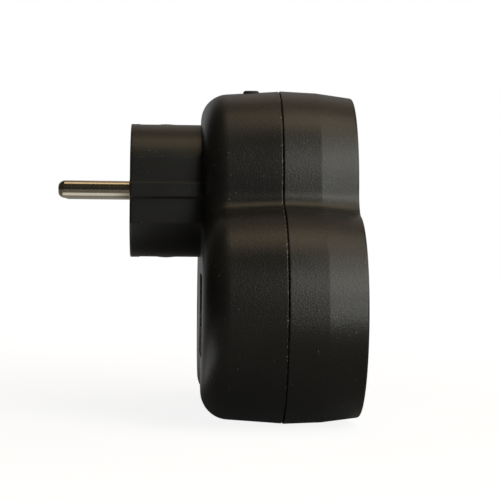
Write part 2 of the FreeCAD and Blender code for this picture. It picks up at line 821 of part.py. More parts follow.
def make_shutter_spring(label, across, up):
    # An open ring of spring wire between the cover's peg and the disc's peg.
    ring = doc.addObject("Part::Torus", label)
    ring.Label = label
    bind(ring, "Radius1", s.spring_radius)
    bind(ring, "Radius2", s.spring_wire)
    peg_width = (s.peg_radius + s.fit_gap + s.spring_wire) / s.spring_radius * 180 / math.pi
    sweep = s.shutter_peg_angle + 360 - s.cover_peg_angle - peg_width * 2
    bind(ring, "Angle3", sweep)
    start = s.cover_peg_angle + peg_width
    ring.Placement.Rotation = FreeCAD.Rotation(FreeCAD.Vector(1, 0, 0), 90).multiply(
        FreeCAD.Rotation(FreeCAD.Vector(0, 0, 1), start.value))
    place(ring, across, up)
    bind(ring, "Placement.Base.y", -(shutter_back + plate_front) / 2)
    return ring


def make_screw(label, seat, across, up):
    body = new_body(label)
    profile = new_sketch(body, "profile", role="XY_Plane")
    crown = s.screw_head_chamfer
    top = s.screw_head_height - seat
    polygon(profile, [
        (middle, -screw_tip), (s.screw_radius, -screw_tip + s.screw_radius),
        (s.screw_radius, -seat), (s.screw_head_radius, -seat),
        (s.screw_head_radius, top - crown), (s.screw_head_radius - crown, top), (middle, top)])
    revolve(profile)
    place(body, across, up)
    return body


make_rear_shell()
make_front_shell()
make_pin("left_pin", -1)
make_pin("right_pin", 1)
make_bus_bar("live_bar", -1, bridged=False)
make_bus_bar("neutral_bar", 1, bridged=True)
for where, (across, up) in sockets.items():
    make_contact(f"{where}_live_contact", across - pin_side, up)
    make_contact(f"{where}_neutral_contact", across + pin_side, up)
    make_earth_clip(f"{where}_earth_clip", across, up)
    make_shutter(f"{where}_shutter", across, up)
    make_shutter_cover(f"{where}_shutter_cover", across, up)
    make_shutter_spring(f"{where}_shutter_spring", across, up)
make_earth_bar()
make_plug_earth_strip()
make_earth_sleeve()
make_earth_link()
make_screw("nose_screw", nose_screw_seat, *sockets["top"])
for where in ("left", "right"):
    make_screw(f"{where}_screw", s.nose_depth + s.back_screw_sink, *sockets[where])

doc.recompute()
os.makedirs("parts", exist_ok=True)
nodes = [thing for thing in doc.Objects
         if thing.TypeId in ("PartDesign::Body", "Part::Cylinder", "Part::Torus")]
for thing in doc.Objects:
    if {"Invalid", "Error"} & set(thing.State):
        raise RuntimeError(f"{thing.Name} failed: {thing.State}")
for node in nodes:
    if node.Shape.isNull() or not node.Shape.isValid() or not node.Shape.Solids:
        raise RuntimeError(f"{node.Label} has no valid solid")
for node in nodes:
    node.Shape.exportStep(f"parts/{node.Label}.step")
    print(f"{node.Label}: {len(node.Shape.Solids)} solid, {node.Shape.Volume:.1f} mm3")
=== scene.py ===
import math

import bmesh
import bpy
import numpy as np
from mathutils import Matrix, Vector, geometry


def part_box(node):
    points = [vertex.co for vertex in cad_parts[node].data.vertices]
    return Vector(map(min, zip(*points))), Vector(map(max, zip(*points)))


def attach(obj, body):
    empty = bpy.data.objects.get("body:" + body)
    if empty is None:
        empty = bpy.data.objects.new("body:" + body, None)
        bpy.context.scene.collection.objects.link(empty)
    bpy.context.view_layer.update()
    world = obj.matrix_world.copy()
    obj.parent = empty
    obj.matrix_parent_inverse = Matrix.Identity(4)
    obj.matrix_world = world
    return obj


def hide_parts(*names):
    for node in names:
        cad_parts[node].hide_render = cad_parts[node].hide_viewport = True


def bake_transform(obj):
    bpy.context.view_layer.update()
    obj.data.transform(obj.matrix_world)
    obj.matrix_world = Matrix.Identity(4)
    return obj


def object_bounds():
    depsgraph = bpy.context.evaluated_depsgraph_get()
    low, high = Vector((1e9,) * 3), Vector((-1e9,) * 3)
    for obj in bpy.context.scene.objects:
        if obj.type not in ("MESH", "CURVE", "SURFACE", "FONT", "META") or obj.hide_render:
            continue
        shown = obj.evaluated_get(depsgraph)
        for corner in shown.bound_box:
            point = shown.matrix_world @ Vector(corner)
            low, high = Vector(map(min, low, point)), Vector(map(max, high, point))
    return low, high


# Three-way adapter of black moulded plastic, seen from its left side.
# +Y points along the pins to the wall, the wells open towards -Y and +Z is up.
# Shapes are worked out in millimetres and put into the mesh in metres.

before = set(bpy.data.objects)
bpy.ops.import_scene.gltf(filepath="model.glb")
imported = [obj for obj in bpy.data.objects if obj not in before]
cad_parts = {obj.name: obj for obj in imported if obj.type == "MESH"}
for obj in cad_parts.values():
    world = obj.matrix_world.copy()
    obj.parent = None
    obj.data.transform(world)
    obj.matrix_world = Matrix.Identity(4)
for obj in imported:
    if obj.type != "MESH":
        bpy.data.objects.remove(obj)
cadLow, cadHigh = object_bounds()
mm = 0.001


def nodeBox(name):
    low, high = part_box(name)
    return np.array(low) / mm, np.array(high) / mm


pinLow, pinHigh = nodeBox("left_pin")
stripLow, stripHigh = nodeBox("plug_earth_strip")
# Places along Y: the front face, the parting line and the back that the plug's nose stands on.
frontFace = nodeBox("front_shell")[0][1]
parting = nodeBox("rear_shell")[0][1]
rearDepth = 21.2
backFace = parting + rearDepth
print("frame loaded, nodes:", len(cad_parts))


def softened(corners, steps=6, closed=True):
    # A polygon whose corners (a, b, radius) become arcs tangent to both sides.
    # Tangent length = radius / tan(half the corner), and the arc turns about the point
    # that lies one radius inside both sides.
    corners = np.asarray(corners, float)
    count = len(corners)
    path = []
    for i in range(count):
        here, radius = corners[i, :2], corners[i, 2]
        before = corners[i - 1, :2] - here
        after = corners[(i + 1) % count, :2] - here
        before /= np.linalg.norm(before)
        after /= np.linalg.norm(after)
        half = math.acos(np.clip(before @ after, -1, 1)) / 2
        straight = half > math.radians(89.5)
        if radius <= 0 or straight or (not closed and i in (0, count - 1)):
            path.append(here[None])
            continue
        start = here + before * radius / math.tan(half)
        centre = here + (before + after) / np.linalg.norm(before + after) * radius / math.sin(half)
        sweep = math.pi - 2 * half
        if before[0] * after[1] - before[1] * after[0] > 0:
            sweep = -sweep
        turn = np.linspace(0, sweep, steps + 1)
        arm = start - centre
        path.append(centre + np.stack([arm[0] * np.cos(turn) - arm[1] * np.sin(turn),
                                       arm[0] * np.sin(turn) + arm[1] * np.cos(turn)], 1))
    return np.concatenate(path)


margin = 0.3  # how near an edge the points stand that keep smooth shading flat


def held(path, closed=True):
    # Two more points near the ends of every long straight stretch keep smooth shading flat
    # between them. Each lies one margin from its end, along the stretch.
    following = np.roll(path, -1, 0) if closed else path[1:]
    starts = path if closed else path[:-1]
    way = following - starts
    length = np.linalg.norm(way, axis=1, keepdims=True)
    length[length == 0] = 1
    near = starts + way / length * margin
    far = following - way / length * margin
    grown = np.stack([starts, near, far], 1).reshape(-1, path.shape[1])
    keep = np.stack([np.ones(len(starts), bool), *[length[:, 0] > 3 * margin] * 2], 1).ravel()
    return grown[keep] if closed else np.concatenate([grown[keep], path[-1:]])


def openPath(corners, steps):
    # A softened path with two ends, held flat along its straight stretches.
    return held(softened(corners, steps, closed=False), closed=False)


def mirrored(quarter):
    # The corners of one quarter, turned over into a whole loop round the origin.
    flipX, flipZ = np.array([-1, 1, 1]), np.array([1, -1, 1])
    quarter = np.asarray(quarter, float)
    return np.concatenate([quarter, quarter[::-1] * flipX, quarter * flipX * flipZ,
                           quarter[::-1] * flipZ])


def inset(loop, depth):
    # A counter-clockwise loop drawn in by one depth along the mean normal of both its sides.
    way = np.roll(loop, -1, 0) - loop
    way /= np.linalg.norm(way, axis=1, keepdims=True)
    normal = np.stack([way[:, 1], -way[:, 0]], 1)
    mean = normal + np.roll(normal, 1, 0)
    mean /= np.linalg.norm(mean, axis=1, keepdims=True)
    return loop - mean * depth / (mean * normal).sum(1, keepdims=True)


def arcCorners(radius, start, end, count):
    # Plain corners along a circle, without the two ends of the arc.
    turn = np.linspace(start, end, count + 2)[1:-1]
    return np.stack([radius * np.cos(turn), radius * np.sin(turn), 0 * turn], 1).tolist()


def circle(x, z, radius, count=64):
    # Counter-clockwise points at one distance from a centre.
    turn = np.linspace(0, 2 * math.pi, count, endpoint=False)
    return np.stack([x + radius * np.cos(turn), z + radius * np.sin(turn)], 1)


def roundedBox(x, z, width, height, radius, steps=4):
    # A rectangle about a centre with rounded corners.
    a, b = width / 2, height / 2
    return softened([(x + a, z - b, radius), (x + a, z + b, radius), (x - a, z + b, radius),
                     (x - a, z - b, radius)], steps)


def atDepth(loop, y):
    # A drawing in X and Z put at one place along Y.
    return np.stack([loop[:, 0], np.full(len(loop), float(y)), loop[:, 1]], 1)


def skin(rings):
    # Quads between each ring of points and the next, closed round the ring.
    rings = np.asarray(rings)
    rows, count = rings.shape[:2]
    index = np.arange(rows * count).reshape(rows, count)
    a, b = index[:-1], index[1:]
    quads = np.stack([a, np.roll(a, -1, 1), np.roll(b, -1, 1), b], -1).reshape(-1, 4)
    return rings.reshape(-1, 3), quads


def capped(rings):
    # The same, with one flat face over the first ring and one over the last.
    points, quads = skin(rings)
    first = np.arange(np.shape(rings)[1])
    last = first + len(points) - len(first)
    return points, quads.tolist() + [first.tolist(), last.tolist()]


def inside(points, loop):
    # Even-odd rule: a ray to +X crosses the loop an odd number of times.
    a, b = loop, np.roll(loop, -1, 0)
    x, z = points[:, 0, None], points[:, 1, None]
    crosses = (a[:, 1] > z) != (b[:, 1] > z)
    rise = np.where(b[:, 1] == a[:, 1], 1.0, b[:, 1] - a[:, 1])
    meets = x < a[:, 0] + (z - a[:, 1]) / rise * (b[:, 0] - a[:, 0])
    return (crosses & meets).sum(1) % 2 == 1


def plate(outer, holes, y):
    # A flat face at one y between an outer loop and its holes, filled with triangles
    # that keep every side of the loops.
    tiny = 1e-6
    loops = [loop[np.linalg.norm(loop - np.roll(loop, 1, 0), axis=1) > tiny]
             for loop in (outer, *holes)]
    points = np.concatenate(loops)
    sides, start = [], 0
    for loop in loops:
        steps = np.arange(len(loop))
        sides += np.stack([start + steps, start + np.roll(steps, -1)], 1).tolist()
        start += len(loop)
    filled = geometry.delaunay_2d_cdt([Vector(p) for p in points], sides, [], 0, tiny)
    flat = points[[given[0] for given in filled[3]]]
    triangles = np.array(filled[2])
    middle = flat[triangles].mean(1)
    keep = inside(middle, loops[0])
    for hole in loops[1:]:
        keep &= ~inside(middle, hole)
    return atDepth(flat, y), triangles[keep]


def weld(patches):
    # Joins patches along their common points, found by rounding to a hundredth of a micron.
    points = np.concatenate([p for p, _ in patches])
    keys, which = np.unique(np.round(points, 5) + 0.0, axis=0, return_inverse=True)
    which = which.ravel().tolist()
    faces, start = [], 0
    for p, f in patches:
        faces += [[which[start + corner] for corner in face] for face in f]
        start += len(p)
    return keys, [f for f in (list(dict.fromkeys(face)) for face in faces) if len(f) > 2]


def addPiece(name, patches, material, replaced=(), body="housing", sharp=32):
    # Edges sharper than the given angle in degrees stay crisp.
    points, faces = weld(patches)
    mesh = bpy.data.meshes.new(name)
    mesh.from_pydata((points * mm).tolist(), [], faces)
    shape = bmesh.new()
    shape.from_mesh(mesh)
    bmesh.ops.recalc_face_normals(shape, faces=shape.faces)
    openEdges = sum(not edge.is_manifold for edge in shape.edges)
    shape.to_mesh(mesh)
    shape.free()
    mesh.polygons.foreach_set("use_smooth", np.ones(len(mesh.polygons), bool))
    mesh.set_sharp_from_angle(angle=math.radians(sharp))
    mesh.materials.append(material)
    piece = bpy.data.objects.new(name, mesh)
    bpy.context.scene.collection.objects.link(piece)
    if body:
        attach(piece, body)
    if replaced:
        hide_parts(*replaced)
    print(f"{name}: {len(points)} points, {openEdges} open edges")
    return piece


print("shape helpers ready")


def linear(code):
    # sRGB hex to linear light: c / 12.92 below 0.04045, else ((c + 0.055) / 1.055) ^ 2.4.
    tone = np.array([int(code[i:i + 2], 16) for i in (1, 3, 5)]) / 255
    tone = np.where(tone <= 0.04045, tone / 12.92, ((tone + 0.055) / 1.055) ** 2.4)
    return (*tone.tolist(), 1.0)


def connect(tree, node, links):
    for name, source in links.items():
        tree.links.new(source, node.inputs[name])


def addNode(tree, kind, settings, links=()):
    # A shader node with its own settings, its unlinked sockets and the links into it.
    node = tree.nodes.new("ShaderNode" + kind)
    for name, value in settings.items():
        if isinstance(name, str) and hasattr(node, name):
            setattr(node, name, value)
        else:
            node.inputs[name].default_value = value
    connect(tree, node, dict(links))
    return node


def combined(tree, operation, values):
    # Several values brought together by one operation, two at a time.
    whole, *others = values
    for value in others:
        whole = addNode(tree, "Math", {"operation": operation}, {0: whole, 1: value}).outputs[0]
    return whole


def newMaterial(name, sockets):
    made = bpy.data.materials.new(name)
    made.use_nodes = True
    shader = made.node_tree.nodes["Principled BSDF"]
    for socket, value in sockets.items():
        shader.inputs[socket].default_value = value
    place = addNode(made.node_tree, "TexCoord", {}).outputs["Object"]
    return made, made.node_tree, shader, place


perMm = 1 / mm
noiseLow, noiseHigh = 0.3, 0.7  # a noise texture's values stay mostly between these


def drifting(tree, place, finish, detail):
    # A cloudy pattern, and a tone that drifts with it between fresh and worn.
    cloud = addNode(tree, "TexNoise", {"Scale": perMm / finish["cloud"], "Detail": detail},
                    {"Vector": place})
    tone = addNode(tree, "Mix", {
        "data_type": "RGBA", 6: linear(finish["fresh"]), 7: linear(finish["worn"])},
        {0: cloud.outputs["Fac"]})
    return cloud, tone


plastic = {
    "fresh": "#141413", "worn": "#191816", "dust": "#6f6b60", "cloud": 14.0,
    "roughLow": 0.33, "roughHigh": 0.39,
    "grain": 0.55, "grainHeight": 0.048, "grainStrength": 0.9, "noseGrain": 0.25,
    "grainFade": 1.0,
    # A speck shows where its noise is above the start, which is lower by the parting line.
    "speck": 0.45, "speckStart": 0.81, "partingStart": 0.65, "speckEdge": 14.0,
    "partingReach": 0.35,
}


def mouldedBlackAbs():
    # Black ABS moulded against a spark-eroded tool: an even fine grain that spreads every
    # reflection into a soft sheen, a little cloudy, with a few pale specks of dust that
    # gather along the parting line. The grain is drawn a few times too coarse, so that it
    # shows, and the plug's nose has less of it.
    made, tree, shader, place = newMaterial("spark-textured moulded black ABS", {"IOR": 1.54})
    axes = addNode(tree, "SeparateXYZ", {}, {0: place})
    cloud, tone = drifting(tree, place, plastic, 3.0)
    rough = addNode(tree, "MapRange", {
        "From Min": noiseLow, "From Max": noiseHigh, "To Min": plastic["roughLow"],
        "To Max": plastic["roughHigh"]}, {0: cloud.outputs["Fac"]})

    specks = addNode(tree, "TexNoise", {"Scale": perMm / plastic["speck"], "Detail": 0.0},
                     {"Vector": place})
    nearParting = addNode(tree, "Math", {
        "operation": "COMPARE", 1: parting * mm, 2: plastic["partingReach"] * mm},
        {0: axes.outputs["Y"]})
    least = addNode(tree, "Math", {
        "operation": "MULTIPLY_ADD", 1: plastic["partingStart"] - plastic["speckStart"],
        2: plastic["speckStart"]}, {0: nearParting.outputs[0]})
    above = combined(tree, "SUBTRACT", [specks.outputs["Fac"], least.outputs[0]])
    dusty = addNode(tree, "Math", {
        "operation": "MULTIPLY", 1: plastic["speckEdge"], "use_clamp": True}, {0: above})
    colour = addNode(tree, "Mix", {"data_type": "RGBA", 7: linear(plastic["dust"])},
                     {0: dusty.outputs[0], 6: tone.outputs[2]})

    grain = addNode(tree, "TexNoise", {
        "Scale": perMm / plastic["grain"], "Detail": 2.0, "Roughness": 0.6}, {"Vector": place})
    share = addNode(tree, "MapRange", {
        "From Min": (backFace - plastic["grainFade"]) * mm, "To Min": 1.0,
        "From Max": (backFace + plastic["grainFade"]) * mm, "To Max": plastic["noseGrain"]},
        {"Value": axes.outputs["Y"]})
    height = combined(tree, "MULTIPLY", [grain.outputs["Fac"], share.outputs[0]])
    relief = addNode(tree, "Bump", {
        "Strength": plastic["grainStrength"], "Distance": plastic["grainHeight"] * mm},
        {"Height": height})
    connect(tree, shader, {"Base Color": colour.outputs[2], "Roughness": rough.outputs[0],
                           "Normal": relief.outputs[0]})
    return made


shutterPlastic = {"colour": "#1b1b1b", "rough": 0.3, "ripple": 2.5, "rippleHeight": 0.004,
                  "rippleStrength": 0.6}


def smoothShutterNylon():
    # Black nylon moulded in a polished tool: smooth, with a broad clean highlight and
    # slight waves from shrinkage.
    made, tree, shader, place = newMaterial("smooth moulded black nylon", {
        "Base Color": linear(shutterPlastic["colour"]), "Roughness": shutterPlastic["rough"],
        "IOR": 1.53})
    wave = addNode(tree, "TexNoise", {
        "Scale": perMm / shutterPlastic["ripple"], "Detail": 1.0}, {"Vector": place})
    relief = addNode(tree, "Bump", {
        "Strength": shutterPlastic["rippleStrength"],
        "Distance": shutterPlastic["rippleHeight"] * mm}, {"Height": wave.outputs["Fac"]})
    connect(tree, shader, {"Normal": relief.outputs[0]})
    return made


metals = {
    # Brass rod, turned and bright nickel-plated: a clear bright band and hardly a ring.
    "turned nickel-plated brass": {
        "fresh": "#d6cfc0", "worn": "#c4b9a2", "roughLow": 0.1, "roughHigh": 0.17,
        "spacing": 0.3, "across": "Y", "height": 0.0006},
    # Bare brass, rolled and stamped: a warm yellow with a broad streaky sheen.
    "stamped brass strip": {
        "fresh": "#d9b266", "worn": "#b98f4a", "roughLow": 0.28, "roughHigh": 0.42,
        "spacing": 0.3, "across": "X", "height": 0.004},
    # Spring steel, rolled and nickel-plated: a pale satin with streaks along the strip.
    "rolled nickel-plated spring strip": {
        "fresh": "#d2d0ca", "worn": "#bdb9af", "roughLow": 0.36, "roughHigh": 0.5,
        "spacing": 0.2, "across": "X", "height": 0.002},
    # Pressed steel, zinc-plated: a cool dull grey, a little blotchy.
    "zinc-plated pressed screw": {
        "fresh": "#b5b7ba", "worn": "#8f9092", "roughLow": 0.3, "roughHigh": 0.45,
        "spacing": 0.4, "across": "Z", "height": 0.006},
}
toolMarks = {"cloud": 3.0, "stretch": 30.0, "strength": 0.5}


def finishedMetal(name):
    # The tone drifts with a cloudy pattern. Gloss and relief follow the tool marks, which lie
    # one spacing apart and stretch far along the other two axes. They are drawn several times
    # too coarse, so that they show.
    finish = metals[name] | toolMarks
    made, tree, shader, place = newMaterial(name, {"Metallic": 1.0})
    tone = drifting(tree, place, finish, 4.0)[1]
    stretch = [1.0 if axis == finish["across"] else 1 / finish["stretch"] for axis in "XYZ"]
    laid = addNode(tree, "Mapping", {"Scale": stretch}, {"Vector": place})
    marks = addNode(tree, "TexNoise", {"Scale": perMm / finish["spacing"], "Detail": 2.0},
                    {"Vector": laid.outputs[0]})
    rough = addNode(tree, "MapRange", {
        "From Min": noiseLow, "From Max": noiseHigh, "To Min": finish["roughLow"],
        "To Max": finish["roughHigh"]}, {0: marks.outputs["Fac"]})
    relief = addNode(tree, "Bump", {
        "Strength": finish["strength"], "Distance": finish["height"] * mm},
        {"Height": marks.outputs["Fac"]})
    connect(tree, shader, {"Base Color": tone.outputs[2], "Roughness": rough.outputs[0],
                           "Normal": relief.outputs[0]})
    return made


blackAbs = mouldedBlackAbs()
blackNylon = smoothShutterNylon()
platedBrass, stampedBrass, springStrip, zincScrew = [finishedMetal(name) for name in metals]
print("materials ready")

housing = {
    "upperRadius": 27.8, "lowerRadius": 28.3, "side": 27.75, "drop": 32.75, "valley": 5.0,
    "lobeSteps": 110, "valleySteps": 14, "wall": 2.2,
    "rearDraft": 3.8, "backRound": 7.4, "backFlat": 9.1, "backSteps": 14,
    "frontDraft": 2.5, "creaseDepth": 10.0, "creaseRound": 5.0, "bevelDraft": 7.7,
    "frontRound": 0.8, "frontRim": 1.2, "frontSteps": 8,
    "partingEdge": 0.22, "gap": 0.3, "lip": 2.0, "lipPlay": 0.15, "lipEdge": 0.1, "step": 0.1,
    # The screw bosses' bores: upper, left and right ones behind, one size in front.
    "rearBores": (3.4, 4.2, 4.2), "rearBoresEnd": -32.0,
    "frontBore": 3.4, "frontBoresEnd": -32.2,
}
frontEdge = parting - housing["gap"]
lobes = [(0.0, 0.0), (-housing["side"], -housing["drop"]), (housing["side"], -housing["drop"])]


def trefoilArcs():
    # Three lobe arcs and three valley arcs, each tangent to the next. A valley's centre lies
    # at the sum of both radii from the centres of the two lobes beside it.
    # Gives each point's centre, radius, direction, and 1 on a lobe or -1 in a valley.
    top, side, drop = housing["upperRadius"], housing["side"], housing["drop"]
    low, dip = housing["lowerRadius"], housing["valley"]
    span = math.hypot(side, drop)
    along = ((top + dip) ** 2 - (low + dip) ** 2 + span ** 2) / (2 * span)
    aside = math.sqrt((top + dip) ** 2 - along ** 2)
    rightDip = np.array([along * side + aside * drop, aside * side - along * drop]) / span
    leftDip = rightDip * (-1, 1)
    base = np.array([0, -drop - math.sqrt((low + dip) ** 2 - side ** 2)])
    upper, left, right = (np.array(lobe) for lobe in lobes)

    def bearing(here, there):
        return math.atan2(there[1] - here[1], there[0] - here[0])

    full = 2 * math.pi
    lobeSteps, valleySteps = housing["lobeSteps"], housing["valleySteps"]
    spans = [
        (upper, top, 1, bearing(upper, rightDip), bearing(upper, leftDip), lobeSteps),
        (leftDip, dip, -1, bearing(leftDip, upper), bearing(leftDip, left), valleySteps),
        (left, low, 1, bearing(left, leftDip), bearing(left, base) + full, lobeSteps),
        (base, dip, -1, bearing(base, left), bearing(base, right), valleySteps),
        (right, low, 1, bearing(right, base), bearing(right, rightDip), lobeSteps),
        (rightDip, dip, -1, bearing(rightDip, right), bearing(rightDip, upper), valleySteps),
    ]
    rows = []
    for centre, radius, bulge, start, end, count in spans:
        sweep = (end - start) % full
        if bulge < 0:
            sweep -= full
        turn = start + sweep * np.arange(count) / count
        same = np.ones((count, 1))
        rows.append(np.hstack([same * centre, same * radius, np.cos(turn)[:, None],
                               np.sin(turn)[:, None], same * bulge]))
    return np.concatenate(rows)


arcs = trefoilArcs()


def trefoil(depth):
    # The outline drawn in: lobe radii shrink and valley radii grow by the same depth.
    return arcs[:, :2] + (arcs[:, 2] - arcs[:, 5] * depth)[:, None] * arcs[:, 3:5]


def housingWall(profile):
    # One ring of the outline for each (depth drawn in, y) of a profile.
    return skin([atDepth(trefoil(depth), y) for depth, y in profile])


def blindHole(x, z, steps):
    # A round hole: one circle for each (radius, y), closed by a disc at the last.
    floor = circle(x, z, steps[-1][0])
    return [skin([atDepth(circle(x, z, radius), y) for radius, y in steps]),
            plate(floor, [], steps[-1][1])]


def lipped(radius, y, edge, inward, steps=4):
    # The mouth of a hole: a small round between a face at y and the wall going inward.
    turn = np.linspace(0, math.pi / 2, steps)
    return [(radius + edge * (1 - math.sin(t)), y + inward * edge * (1 - math.cos(t)))
            for t in turn]


nose = {
    "radius": 18.5, "flat": 16.2, "ribHeight": 1.4, "ribWidth": 4.2, "ribEdge": 0.45,
    "ribFoot": 0.3, "flatEdge": 0.6, "channelWidth": 7.0, "channelFloor": 16.8,
    "channelStart": 2.5, "channelEdge": 0.2, "channelReach": 3.8, "faceEdge": 0.3,
    "faceHold": 0.8, "pinSide": 9.5, "pinHole": 2.62, "pinHoleDepth": 2.0,
    "earthHeight": 10.0, "earthMouth": 2.7, "earthStep": 2.0, "earthBore": 3.3,
    "earthEnd": 18.9, "recess": 3.0, "recessDepth": 17.0, "backRecess": 3.5,
    "holeEdge": 0.2, "arcSteps": 26, "edgeSteps": 5,
}


def noseOutline():
    # A circle with a flat and a raised rib on each side and a channel above and below.
    half = nose["ribWidth"] / 2
    flat, radius = nose["flat"], nose["radius"]
    meet = math.sqrt(radius ** 2 - flat ** 2)
    edge = nose["channelWidth"] / 2
    lip = math.sqrt(radius ** 2 - edge ** 2)
    return held(softened(mirrored([
        (flat + nose["ribHeight"], half, nose["ribEdge"]), (flat, half, nose["ribFoot"]),
        (flat, meet, nose["flatEdge"]),
        *arcCorners(radius, math.atan2(meet, flat), math.atan2(lip, edge), nose["arcSteps"]),
        (edge, lip, nose["channelEdge"]), (edge, nose["channelFloor"], nose["channelEdge"]),
    ])))


def unslotted(loop, depth):
    # The outline drawn in by a depth with its channels closed: there the points keep their x,
    # go out to z = sqrt(radius^2 - x^2) and are scaled by 1 - depth / radius.
    closed = inset(loop, depth)
    radius = nose["radius"]
    channel = abs(loop[:, 0]) < nose["channelReach"]
    x, z = loop[channel].T
    onCircle = np.stack([x, np.sign(z) * np.sqrt(radius ** 2 - x ** 2)], 1)
    closed[channel] = onCircle * (1 - depth / radius)
    return closed


def noseRings(loop):
    # Rings round the face's edge with the channels closed, then open ones to the back.
    edge, start = nose["faceEdge"], -nose["channelStart"]
    rings = [atDepth(unslotted(loop, edge * (1 - math.cos(t))), -edge * (1 - math.sin(t)))
             for t in np.linspace(math.pi / 2, 0, nose["edgeSteps"])]
    whole = unslotted(loop, 0)
    rings += [atDepth(whole, y) for y in (-nose["faceHold"], start + margin, start)]
    rings += [atDepth(loop, y) for y in (start, start - margin, backFace + margin, backFace)]
    return rings


def noseHoles():
    # Each hole in the nose's face as x, z and its (radius, y) from the rounded mouth inwards.
    pinHole, mouth, bore, recess = (
        nose[key] for key in ("pinHole", "earthMouth", "earthBore", "recess"))
    pinSteps = [(pinHole, -nose["pinHoleDepth"])]
    earthSteps = [(mouth, -nose["earthStep"]), (bore, -nose["earthStep"]),
                  (bore, -nose["earthEnd"])]
    holes = [
        (-nose["pinSide"], 0, pinHole, pinSteps), (nose["pinSide"], 0, pinHole, pinSteps),
        (0, nose["earthHeight"], mouth, earthSteps),
        (0, 0, recess, [(recess, -nose["recessDepth"])]),
    ]
    return [(x, z, lipped(radius, 0, nose["holeEdge"], -1) + deeper)
            for x, z, radius, deeper in holes]


def rearProfile():
    # (depth drawn in, y) from the inner back along the wall and the lip's rebate to the
    # parting line, then up the drafted outside and round the back.
    slope = math.tan(math.radians(housing["rearDraft"]))
    wall, lip, flat = housing["wall"], housing["lip"], housing["backFlat"]
    return openPath([
        (flat, backFace - wall, 0),
        (wall + (rearDepth - wall) * slope, backFace - wall, housing["backRound"] - wall),
        (wall + lip * slope, parting + lip, 0), (wall / 2, parting + lip, 0),
        (wall / 2, parting, housing["lipEdge"]), (0, parting, housing["partingEdge"]),
        (rearDepth * slope, backFace, housing["backRound"]), (flat, backFace, 0),
    ], housing["backSteps"])


latch = {"width": 6.0, "start": 5.4, "length": 4.2, "corner": 0.4, "rise": 0.05, "foot": 1.0,
         "shoulder": 0.3, "slope": 0.5, "crownEdge": 0.04, "crownSlope": 0.375}


def latchMark():
    # A low bump on top: rounded rectangles that shrink by the slope as they rise.
    middle = parting + latch["start"] + latch["length"] / 2
    crown = housing["upperRadius"] + latch["rise"]
    rings = []
    for drawnIn, below in ((0, latch["foot"]), (0, latch["shoulder"]),
                           (latch["crownSlope"], latch["crownEdge"]), (latch["slope"], 0)):
        loop = roundedBox(0, middle, latch["width"] - 2 * drawnIn,
                          latch["length"] - 2 * drawnIn, latch["corner"])
        rings.append(np.column_stack([loop, np.full(len(loop), crown - below)]))
    return capped(rings)


def rearHousing():
    loop = noseOutline()
    rings = noseRings(loop)
    holes = noseHoles()
    patches = [housingWall(rearProfile()), skin(rings)]
    patches.append(plate(rings[0][:, [0, 2]],
                         [circle(x, z, steps[0][0]) for x, z, steps in holes], 0))
    for x, z, steps in holes:
        patches += blindHole(x, z, steps)

    flat, innerBack = trefoil(housing["backFlat"]), backFace - housing["wall"]
    recess = lipped(nose["recess"], backFace, nose["holeEdge"], -1)
    recess.append((nose["recess"], backFace - nose["backRecess"]))
    mouths = [circle(x, z, recess[0][0]) for x, z in lobes[1:]]
    patches.append(plate(flat, [loop, *mouths], backFace))
    for x, z in lobes[1:]:
        patches += blindHole(x, z, recess)

    bores = [(x, z, radius) for (x, z), radius in zip(lobes, housing["rearBores"])]
    patches.append(plate(flat, [circle(*bore) for bore in bores], innerBack))
    for x, z, radius in bores:
        patches += blindHole(x, z, [(radius, innerBack), (radius, housing["rearBoresEnd"])])
    patches.append(latchMark())
    return addPiece("rearHousing", patches, blackAbs, ["rear_shell"])


rearHousing()

well = {
    "radius": 19.5, "depth": 17.5, "mouthRound": 0.5, "floor": 2.0, "guideRise": 2.7,
    "guideLow": 2.5, "guideHigh": 7.5, "guideEdge": 0.35, "guideReach": 8.1,
    "guideLead": 1.5, "hold": 0.4, "slotSteps": 4, "arcSteps": 34, "mouthSteps": 6,
    "contactSide": 9.5, "contactHole": 2.6, "contactBevel": 0.6, "slotHeight": 18.5,
    "slotWidth": 6.4, "slotRise": 1.2, "slotEdge": 0.3,
}


def wellOutline():
    # A circle with two guide pads on each side, a slot between them.
    radius = well["radius"]
    low, high, edge = well["guideLow"], well["guideHigh"], well["guideEdge"]
    pad = radius - well["guideRise"]
    return held(softened(mirrored([
        *arcCorners(radius, 0, math.asin(low / radius), well["slotSteps"]),
        (math.sqrt(radius ** 2 - low ** 2), low, edge), (pad, low, edge), (pad, high, edge),
        (math.sqrt(radius ** 2 - high ** 2), high, edge),
        *arcCorners(radius, math.asin(high / radius), math.pi / 2, well["arcSteps"]),
    ])))


def withoutGuides(loop):
    # The pads' points keep their z and go out to x = sqrt(radius^2 - z^2).
    plain = loop.copy()
    pads = abs(loop[:, 1]) < well["guideReach"]
    plain[pads, 0] = np.sign(loop[pads, 0]) * np.sqrt(well["radius"] ** 2 - loop[pads, 1] ** 2)
    return plain


def wellRings(guided):
    # Round the mouth and down a plain wall as far as the lead, then along the guide pads.
    # The mouth's rings are the plain wall's times 1 + mouthRound * (1 - sin(t)) / radius.
    plain = withoutGuides(guided)
    edge, hold = well["mouthRound"], well["hold"]
    lead, floor = frontFace + well["guideLead"], frontFace + well["depth"]
    rings = [atDepth(plain * (1 + edge * (1 - math.sin(t)) / well["radius"]),
                     frontFace + edge * (1 - math.cos(t)))
             for t in np.linspace(0, math.pi / 2, well["mouthSteps"])]
    rings += [atDepth(plain, y) for y in (lead - hold, lead)]
    rings += [atDepth(guided, y) for y in (lead, lead + hold, floor - hold, floor)]
    return np.stack(rings)


